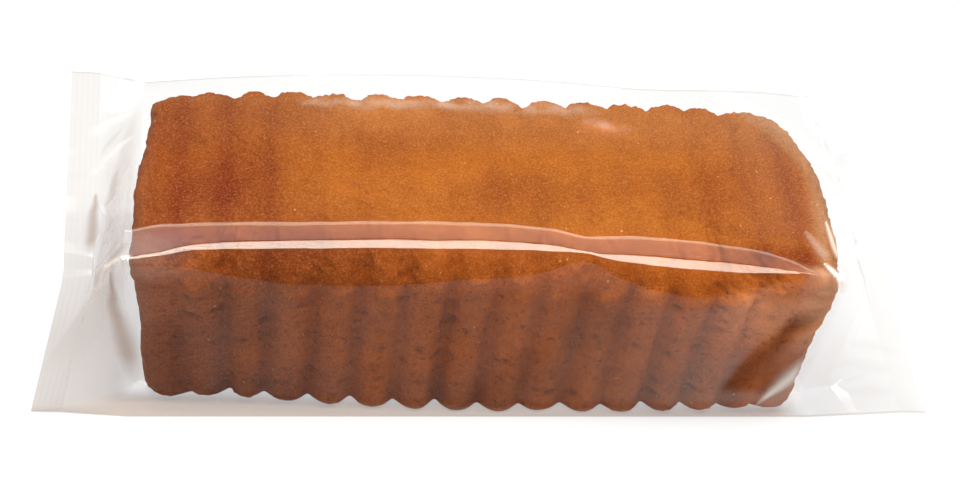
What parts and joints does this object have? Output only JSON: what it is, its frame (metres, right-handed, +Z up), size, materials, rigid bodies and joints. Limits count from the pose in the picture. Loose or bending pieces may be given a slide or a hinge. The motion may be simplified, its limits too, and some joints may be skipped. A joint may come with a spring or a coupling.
{
  "type": "sponge cake",
  "caption": "Fluted loaf-shaped sponge cake with a golden-brown crust, sealed in a clear film bag with a flat heat seal at each end.",
  "frame": {"origin": "on the rest face under the middle of the loaf", "axes": "+X along the loaf, -Y towards the front wall with the front fold of the film, +Z up"},
  "size_m": [0.321, 0.1001, 0.077],
  "materials": {
    "crust": null,
    "film": "thin clear glossy film"
  },
  "bodies": {
    "root": {"bagged_cake": "crust"}
  },
  "joints": []
}
